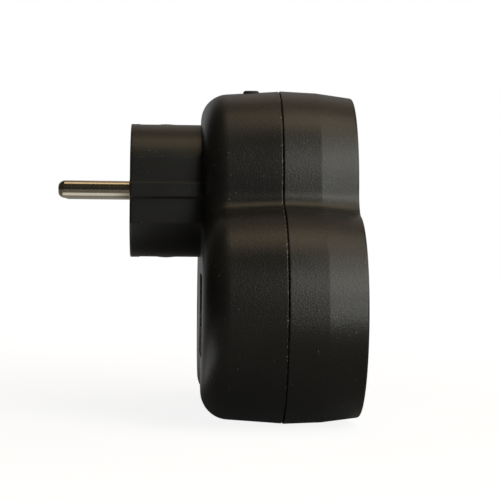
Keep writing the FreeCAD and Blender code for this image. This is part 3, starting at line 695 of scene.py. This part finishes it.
def frontProfile(wellBack):
    # (depth drawn in, y) from the back of the wells over the lip to the parting line, then
    # along the side to the crease and down the bevel to the face.
    wall, step, lipEdge = housing["wall"], housing["step"], housing["lipEdge"]
    lipEnd = frontEdge + housing["lip"]
    inner = wall / 2 + housing["lipPlay"]
    crease = frontEdge - housing["creaseDepth"]
    creaseIn = housing["creaseDepth"] * math.tan(math.radians(housing["frontDraft"])) - step
    faceIn = creaseIn + (crease - frontFace) * math.tan(math.radians(housing["bevelDraft"]))
    return openPath([
        (wall, wellBack, 0), (wall, lipEnd, lipEdge), (inner, lipEnd, lipEdge),
        (inner, frontEdge, 0), (-step, frontEdge, housing["partingEdge"]),
        (creaseIn, crease, housing["creaseRound"]), (faceIn, frontFace, housing["frontRound"]),
        (faceIn + housing["frontRim"], frontFace, 0),
    ], housing["frontSteps"])


def frontHousing():
    floor = frontFace + well["depth"]
    wellBack = floor + well["floor"]
    profile = frontProfile(wellBack)
    guided = wellOutline()
    rings = wellRings(guided)
    mouth = rings[0][:, [0, 2]]
    hole, bore = well["contactHole"], housing["frontBore"]
    wide = hole + well["contactBevel"]
    patches, backHoles = [housingWall(profile)], []
    for x, z in lobes:
        patches.append(skin(rings + (x, 0, z)))
        floorHoles = []
        for side in (-1, 1):
            across = x + well["contactSide"] * side
            steps = [(wide, floor), (hole, floor + well["contactBevel"]), (hole, wellBack)]
            patches.append(skin([atDepth(circle(across, z, radius), y) for radius, y in steps]))
            slot = roundedBox(x, z + well["slotHeight"] * side, well["slotWidth"],
                              well["slotRise"], well["slotEdge"])
            patches.append(skin([atDepth(slot, floor), atDepth(slot, wellBack)]))
            floorHoles += [circle(across, z, wide), slot]
            backHoles += [circle(across, z, hole), slot]
        patches.append(plate(guided + (x, z), floorHoles, floor))
        patches += blindHole(x, z, [(bore, wellBack), (bore, housing["frontBoresEnd"])])
        backHoles.append(circle(x, z, bore))
    patches.append(plate(trefoil(housing["wall"]), backHoles, wellBack))
    patches.append(plate(trefoil(profile[-1, 0]), [mouth + lobe for lobe in lobes], frontFace))
    return addPiece("frontHousing", patches, blackAbs, ["front_shell"])


frontHousing()


def turned(profile, x, z, count=72):
    # One circle about an axis along Y for each (radius, y).
    return skin([atDepth(circle(x, z, radius, count), y) for radius, y in profile])


pin = {"radius": 2.4, "shank": 2.6, "shoulder": 0.3, "tipRound": 1.7, "tipFlat": 0.9,
       "tipTurn": 0.16, "tipSteps": 14, "head": 2.2, "headBack": 23.2, "headEdge": 0.3,
       "edge": 0.15, "edgeSteps": 4, "sharp": 8}


def contactPin(name, x):
    # A turned rod. Its nose starts at a small turn, so that it meets the rod in a faint edge:
    # it lies out by flat + (radius - flat) * cos(t) / cos(tipTurn) and along by
    # tipRound * (sin(t) - sin(tipTurn)) / (1 - sin(tipTurn)).
    tip, flat, first = pinHigh[1], pin["tipFlat"], pin["tipTurn"]
    start = tip - pin["tipRound"]
    turn = np.linspace(first, math.pi / 2, pin["tipSteps"])[1:]
    out = flat + (pin["radius"] - flat) * np.cos(turn) / math.cos(first)
    along = start + pin["tipRound"] * (np.sin(turn) - math.sin(first)) / (1 - math.sin(first))
    rod = openPath([
        (0, pinLow[1], 0), (pin["head"], pinLow[1], pin["headEdge"]),
        (pin["head"], -pin["headBack"], 0), (pin["shank"], -pin["headBack"], 0),
        (pin["shank"], pin["shoulder"], pin["edge"]), (pin["radius"], pin["shoulder"], 0),
        (pin["radius"], start, 0),
    ], pin["edgeSteps"])
    profile = np.concatenate([rod, np.stack([out, along], 1), [(0.0, tip)]])
    return addPiece(name, [turned(profile, x, 0)], platedBrass,
                    ["left_pin" if x < 0 else "right_pin"], sharp=pin["sharp"])


contactPin("leftContactPin", -nose["pinSide"])
contactPin("rightContactPin", nose["pinSide"])

strip = {"width": 6.0, "thick": 0.8, "edge": 0.12, "bend": 1.0, "ring": 5.3, "ringHole": 3.6,
         "ringJoin": 4.2, "bendSteps": 6}


def bentStrip(path):
    # A flat bar bent along a path of (y, z): each ring is its cross-section, width along X and
    # thickness along the path's mean normal, with bevelled corners.
    way = np.diff(path, axis=0)
    way /= np.linalg.norm(way, axis=1, keepdims=True)
    normal = np.stack([-way[:, 1], way[:, 0]], 1)
    mean = np.concatenate([normal[:1], normal[1:] + normal[:-1], normal[-1:]])
    mean /= np.linalg.norm(mean, axis=1, keepdims=True)
    a, b, edge = strip["width"] / 2, strip["thick"] / 2, strip["edge"]
    section = np.array([(a, -b + edge), (a, b - edge), (a - edge, b), (edge - a, b),
                        (-a, b - edge), (-a, edge - b), (edge - a, -b), (a - edge, -b)])
    rings = np.empty((len(path), len(section), 3))
    rings[:, :, 0] = section[:, 0]
    rings[:, :, 1:] = path[:, None] + mean[:, None] * section[None, :, 1, None]
    return capped(rings)


def bothLegs(corners):
    # One leg as a softened path of (y, z), and its mirror image below.
    leg = openPath(corners, strip["bendSteps"])
    return [bentStrip(leg), bentStrip(leg * (1, -1))]


def stripRing(near, far):
    # The strip's flat ring round the screw's boss, between two places along Y.
    outer, inner = circle(0, 0, strip["ring"]), circle(0, 0, strip["ringHole"])
    return [skin([atDepth(outer, near), atDepth(outer, far)]),
            skin([atDepth(inner, near), atDepth(inner, far)]),
            plate(outer, [inner], near), plate(outer, [inner], far)]


def shifted(patches, x, z):
    # Patches made about the origin, moved to a socket's centre.
    return [(points + (x, 0, z), faces) for points, faces in patches]


plugStrip = {"footIn": 0.7, "crown": -9.6, "crownBend": 12, "heel": -17.4, "heelBend": 4}


def plugEarthStrip():
    # Each leg bows out of its channel at the crown and turns in at the base.
    tip, base = stripHigh[1], stripLow[1] + strip["thick"] / 2
    crown = stripHigh[2] - strip["thick"] / 2
    foot = crown - plugStrip["footIn"]
    legs = bothLegs([(tip, foot, 0), (plugStrip["crown"], crown, plugStrip["crownBend"]),
                     (plugStrip["heel"], foot, plugStrip["heelBend"]),
                     (base, foot, strip["bend"]), (base, strip["ringJoin"], 0)])
    ring = stripRing(stripLow[1], stripLow[1] + strip["thick"])
    return addPiece("plugEarthStrip", legs + ring, springStrip,
                    ["plug_earth_strip"])


plugEarthStrip()

clip = {"tipIn": 0.7, "gripIn": 1.8, "gripRise": 7.0, "heelRise": 1.8, "gripBend": 4}


def earthClip(where, x, z):
    # Legs stand along the well's wall, bow inwards to grip the plug and spread at the tip.
    low, high = nodeBox(f"{where}_earth_clip")
    base = high[1] - strip["thick"] / 2
    floor = frontFace + well["depth"]
    out = (high[2] - low[2] - strip["thick"]) / 2
    legs = bothLegs([(low[1], out - clip["tipIn"], 0),
                     (floor - clip["gripRise"], out - clip["gripIn"], clip["gripBend"]),
                     (floor - clip["heelRise"], out, clip["gripBend"]),
                     (base, out, strip["bend"]), (base, strip["ringJoin"], 0)])
    ring = stripRing(high[1], high[1] - strip["thick"])
    return addPiece(f"{where}EarthClip", shifted(legs + ring, x, z), springStrip,
                    [f"{where}_earth_clip"])


for where, (x, z) in zip(("top", "left", "right"), lobes):
    earthClip(where, x, z)

screw = {"shank": 1.5, "point": 1.2, "pointFlat": 0.4, "headRadius": 2.8, "headHeight": 1.8,
         "crown": 0.5, "crownFlat": 2.0, "slotWidth": 0.9, "slotLength": 3.4, "slotDepth": 1.2,
         "slotFloor": 0.7, "slotEdge": 0.1, "slotSteps": 3, "domeSteps": 7, "steps": 48}


def crossLoop(size):
    # A plus sign, its arms as wide as the slot, scaled by size.
    a, b = screw["slotWidth"] / 2 * size, screw["slotLength"] / 2 * size
    quarter = [(b, a, 0), (a, a, screw["slotEdge"] * size), (a, b, 0)]
    return softened(mirrored(quarter), screw["slotSteps"])


def screwPiece(name, node, x, z):
    # A cross slot in a low domed head, and a plain core with a pointed end.
    low, high = nodeBox(node)
    head, flat, steps = screw["headRadius"], screw["crownFlat"], screw["steps"]
    seat, edge = high[1] - screw["headHeight"], high[1] - screw["crown"]
    slotEnd = high[1] - screw["slotDepth"]
    core = turned([(0, low[1]), (screw["pointFlat"], low[1]),
                   (screw["shank"], low[1] + screw["point"]), (screw["shank"], seat),
                   (head, seat), (head, edge)], 0, 0, steps)
    turn = np.linspace(0, math.pi / 2, screw["domeSteps"])
    dome = turned(np.stack([flat + (head - flat) * np.cos(turn),
                            edge + screw["crown"] * np.sin(turn)], 1), 0, 0, steps)
    mouth, floor = crossLoop(1), crossLoop(screw["slotFloor"])
    patches = [core, dome, skin([atDepth(mouth, high[1]), atDepth(floor, slotEnd)]),
               plate(circle(0, 0, flat, steps), [mouth], high[1]), plate(floor, [], slotEnd)]
    return addPiece(name, shifted(patches, x, z), zincScrew, [node])


for node, (x, z) in zip(("nose_screw", "left_screw", "right_screw"), lobes):
    screwPiece(node.replace("_s", "S"), node, x, z)

spring = {"radius": 6.2, "wire": 0.35, "pegRoom": 11.55, "discPeg": 60.0, "coverPeg": 150.0,
          "steps": 72, "sides": 10}


def shutterSpring(where, x, z):
    # An open ring of wire, the long way round from the cover's peg to the disc's: for each turn
    # and roll, radius + wire * cos(roll) from the axis and wire * sin(roll) along it.
    low, high = nodeBox(f"{where}_shutter_spring")
    middle, wire = (low[1] + high[1]) / 2, spring["wire"]
    start = math.radians(spring["coverPeg"] + spring["pegRoom"])
    end = math.radians(spring["discPeg"] + 360 - spring["pegRoom"])
    turn = np.linspace(start, end, spring["steps"] + 1)[:, None]
    roll = np.linspace(0, 2 * math.pi, spring["sides"], endpoint=False)[None]
    arm = spring["radius"] + wire * np.cos(roll)
    ring = capped(np.stack([x + arm * np.cos(turn), middle + wire * np.sin(roll) + 0 * turn,
                            z + arm * np.sin(turn)], 2))
    piece = addPiece(f"{where}ShutterSpring", [ring], springStrip,
                     [f"{where}_shutter_spring"], body=None)
    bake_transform(piece)


for where, (x, z) in zip(("top", "left", "right"), lobes):
    shutterSpring(where, x, z)

label = {"width": 27.0, "height": 21.0, "corner": 1.5, "thick": 0.12, "sunk": 0.02,
         "edge": 0.04, "black": "#0d0d0d", "blank": "#e6e5e0", "grey": "#6a6a66",
         # Areas as (x from, x to, z from, z to), counted from the lower corner at -X.
         "areas": [("grey", (0.9, 26.1, 8.0, 10.2)), ("blank", (0.9, 9.0, 0.9, 8.0)),
                   ("blank", (0.9, 9.0, 10.2, 11.7))]}


def printedPolyester():
    # Matt polyester film printed black, which stays black also at a grazing angle. Two pale
    # fields are left bare on one side, and a grey bar stands for fine print.
    made, tree, shader, place = newMaterial("printed matt polyester label", {
        "Roughness": 0.9, "Specular IOR Level": 0.12})
    axes = addNode(tree, "SeparateXYZ", {}, {0: place})
    corner = np.array(lobes[1]) - (label["width"] / 2, label["height"] / 2)

    under = {}
    for tone, area in label["areas"]:
        # 1 where X and Z both lie between two places.
        xFrom, xTo, zFrom, zTo = np.array(area) + np.repeat(corner, 2)
        within = combined(tree, "MULTIPLY", [addNode(tree, "Math", {
            "operation": "COMPARE", 1: (low + high) / 2 * mm, 2: (high - low) / 2 * mm},
            {0: axes.outputs[axis]}).outputs[0]
            for axis, low, high in (("X", xFrom, xTo), ("Z", zFrom, zTo))])
        shade = addNode(tree, "Mix", {
            "data_type": "RGBA", 6: linear(label["black"]), 7: linear(label[tone])},
            {0: within, **under}).outputs[2]
        under = {6: shade}
    connect(tree, shader, {"Base Color": shade})
    return made


def ratingLabel():
    x, z = lobes[1]
    edge, low, high = label["edge"], backFace - label["sunk"], backFace + label["thick"]
    full = roundedBox(x, z, label["width"], label["height"], label["corner"])
    drawn = roundedBox(x, z, label["width"] - 2 * edge, label["height"] - 2 * edge,
                       label["corner"] - edge)
    rings = [atDepth(full, low), atDepth(full, high - edge), atDepth(drawn, high)]
    patches = [skin(rings), plate(full, [], low), plate(drawn, [], high)]
    return addPiece("ratingLabel", patches, printedPolyester())


ratingLabel()

# The CAD's own solids that stay visible get the finish that the end of their name asks for.
nodeFinish = {
    "live_bar": stampedBrass, "neutral_bar": stampedBrass, "contact": platedBrass,
    "earth_bar": springStrip, "plug_earth_sleeve": platedBrass, "earth_link": zincScrew,
    "shutter_cover": blackNylon, "shutter": blackNylon,
}
for name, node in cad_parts.items():
    if not node.hide_render:
        finish = next(made for ending, made in nodeFinish.items() if name.endswith(ending))
        node.data.materials.clear()
        node.data.materials.append(finish)
print("pieces ready")

view = {"focalPx": 1794.7, "imagePx": 500, "distance": 497.93, "aim": (0.0, -33.108, -16.101),
        "yaw": 0.0437, "pitch": 0.0128, "roll": 0.0105, "sensor": 36.0, "clipEnd": 20000.0}


def addCamera():
    # Looks along +X, turned towards the wall side by the yaw, down by the pitch, then rolled.
    yaw, pitch, roll = view["yaw"], view["pitch"], view["roll"]
    ahead = np.array([math.cos(yaw), -math.sin(yaw), 0])
    right = np.array([-math.sin(yaw), -math.cos(yaw), 0])
    up = np.array([0, 0, 1.0])
    forward = math.cos(pitch) * ahead - math.sin(pitch) * up
    up = math.sin(pitch) * ahead + math.cos(pitch) * up
    rolledRight = math.cos(roll) * right + math.sin(roll) * up
    rolledUp = math.cos(roll) * up - math.sin(roll) * right
    place = np.array(view["aim"]) - view["distance"] * forward
    lens = bpy.data.cameras.new("photoCamera")
    lens.sensor_width = view["sensor"]
    lens.lens = view["focalPx"] / view["imagePx"] * lens.sensor_width
    lens.clip_end = view["clipEnd"] * mm
    camera = bpy.data.objects.new("photoCamera", lens)
    grid = np.eye(4)
    grid[:3] = np.stack([rolledRight, rolledUp, -forward, place * mm], 1)
    camera.matrix_world = Matrix(grid.tolist())
    bpy.context.scene.collection.objects.link(camera)
    bpy.context.scene.camera = camera


addCamera()

studio = {
    "floorSize": 16000.0, "floorTone": "#7c7c7a", "glowNear": 0.88, "glowFar": 1.0,
    "fadeStart": 120.0, "fadeEnd": 500.0,
    "below": "#161616", "level": "#2d2d2c", "above": "#3c372e", "levelAt": 0.45,
    "lowest": -0.5, "highest": 0.9, "wellSide": 1.2, "wallSide": 0.8, "sideways": 0.8,
    "lampDistance": 900.0,
}
# What glossy rays see of the white: areas of fades (axis, start, end, share before, share
# after). An area's fades are multiplied and the brightest area holds. On the floor start and
# end are in mm, in the room they are parts of the direction.
floorWhite = [
    # a card below the pins, on the camera's side
    [("X", -75, -60, 0.0, 0.85), ("X", -22, -4, 1.0, 0.3), ("Y", 0, 6, 0.0, 1.0),
     ("Y", 45, 75, 1.0, 0.0)],
    # behind the object
    [("X", 30, 200, 0.04, 0.34)],
    # in front of the wells
    [("Y", -150, -500, 0.0, 0.5)],
]
roomWhite = [[("X", 0.5, 0.95, 0.0, 0.34)], [("Y", -0.65, -0.95, 0.0, 0.5)]]
lamps = {
    # name: (bearing from the camera's side towards the wells, elevation, size, radiant
    #        power, tone)
    "wellSideLowSoftbox": (28, -1, (400, 420), 2.0, "#fffef5"),
    "wellSideSoftbox": (27, 30, (480, 460), 1.6, "#fffef5"),
    "sideSoftbox": (46, 38, (480, 700), 2.2, "#fffdf2"),
    "highSoftbox": (76, 62, (560, 520), 1.05, "#fff0d2"),
    "topSoftbox": (90, 86, (420, 420), 0.62, "#ffe6c0"),
    "farTopSoftbox": (168, 50, (480, 480), 0.2, "#ffe0b8"),
    "wellsSoftbox": (96, 20, (600, 420), 1.6, "#ffffff"),
    "backSoftbox": (-150, 20, (400, 400), 0.15, "#ffffff"),
}


def whiteSeen(tree, axes, areas, unit):
    # 1 for the camera. Glossy and clear rays see the white by the share of the areas.
    shares = []
    for fades in areas:
        shares.append(combined(tree, "MULTIPLY", [addNode(tree, "MapRange", {
            "From Min": start * unit, "From Max": end * unit, "To Min": before,
            "To Max": after}, {"Value": axes.outputs[axis]}).outputs[0]
            for axis, start, end, before, after in fades]))
    rays = addNode(tree, "LightPath", {}).outputs
    bounced = combined(tree, "MAXIMUM", [rays["Is Glossy Ray"], rays["Is Transmission Ray"]])
    share = combined(tree, "MULTIPLY", [bounced, combined(tree, "MAXIMUM", shares)])
    return combined(tree, "MAXIMUM", [rays["Is Camera Ray"], share])


def addFloor():
    # Matt paper that keeps the shadow. The camera and, by a share, glossy rays see it white.
    size, low = studio["floorSize"] / 2 * mm, cadLow[2]
    mesh = bpy.data.meshes.new("studioFloor")
    mesh.from_pydata([(-size, -size, low), (size, -size, low), (size, size, low),
                      (-size, size, low)], [], [(0, 1, 2, 3)])
    floor = bpy.data.objects.new("studioFloor", mesh)
    bpy.context.scene.collection.objects.link(floor)
    made = bpy.data.materials.new("matt white paper floor")
    made.use_nodes = True
    tree = made.node_tree
    tree.nodes.clear()
    paper = addNode(tree, "BsdfDiffuse", {"Color": linear(studio["floorTone"])})
    place = addNode(tree, "TexCoord", {}).outputs["Object"]
    away = addNode(tree, "VectorMath", {"operation": "LENGTH"}, {0: place})
    strength = addNode(tree, "MapRange", {
        "From Min": studio["fadeStart"] * mm, "From Max": studio["fadeEnd"] * mm,
        "To Min": studio["glowNear"], "To Max": studio["glowFar"]},
        {"Value": away.outputs["Value"]})
    glow = addNode(tree, "Emission", {"Color": (1, 1, 1, 1)}, {"Strength": strength.outputs[0]})
    both = addNode(tree, "AddShader", {}, {0: paper.outputs[0], 1: glow.outputs[0]})
    axes = addNode(tree, "SeparateXYZ", {}, {0: place})
    shown = addNode(tree, "MixShader", {}, {
        0: whiteSeen(tree, axes, floorWhite, mm), 1: paper.outputs[0], 2: both.outputs[0]})
    addNode(tree, "OutputMaterial", {}, {"Surface": shown.outputs[0]})
    mesh.materials.append(made)


def addRoom():
    # A dim soft fill, warmer above and weaker on the wall side. The camera and, by a share,
    # glossy rays see white instead.
    world = bpy.data.worlds.new("paleStudio")
    bpy.context.scene.world = world
    world.use_nodes = True
    tree = world.node_tree
    tree.nodes.clear()
    place = addNode(tree, "TexCoord", {}).outputs["Generated"]
    axes = addNode(tree, "SeparateXYZ", {}, {0: place})
    height = addNode(tree, "MapRange", {
        "From Min": studio["lowest"], "From Max": studio["highest"]}, {"Value": axes.outputs["Z"]})
    room = addNode(tree, "ValToRGB", {}, {0: height.outputs[0]})
    low, high = room.color_ramp.elements
    low.color, high.color = linear(studio["below"]), linear(studio["above"])
    room.color_ramp.elements.new(studio["levelAt"]).color = linear(studio["level"])
    aside = addNode(tree, "MapRange", {
        "From Min": -studio["sideways"], "From Max": studio["sideways"],
        "To Min": studio["wellSide"], "To Max": studio["wallSide"]}, {"Value": axes.outputs["Y"]})
    fill = addNode(tree, "Background", {}, {
        "Color": room.outputs[0], "Strength": aside.outputs[0]})
    white = addNode(tree, "Background", {"Color": (1, 1, 1, 1), "Strength": 1.0})
    shown = addNode(tree, "MixShader", {}, {
        0: whiteSeen(tree, axes, roomWhite, 1.0), 1: fill.outputs[0], 2: white.outputs[0]})
    addNode(tree, "OutputWorld", {}, {"Surface": shown.outputs[0]})


def addLamps():
    # Each lamp stands at a bearing and a height round the object and faces its middle.
    middle = np.array(view["aim"])
    for name, (bearing, height, size, power, tone) in lamps.items():
        a, b = math.radians(bearing), math.radians(height)
        outward = np.array([-math.cos(a) * math.cos(b), -math.sin(a) * math.cos(b), math.sin(b)])
        light = bpy.data.lights.new(name, "AREA")
        light.shape = "RECTANGLE"
        light.size, light.size_y = size[0] * mm, size[1] * mm
        light.energy = power
        light.color = linear(tone)[:3]
        lamp = bpy.data.objects.new(name, light)
        lamp.location = (middle + outward * studio["lampDistance"]) * mm
        lamp.rotation_euler = Vector(outward.tolist()).to_track_quat("Z", "Y").to_euler()
        bpy.context.scene.collection.objects.link(lamp)


bpy.context.scene.view_settings.view_transform = "Standard"
addFloor()
addRoom()
addLamps()
print("studio ready")
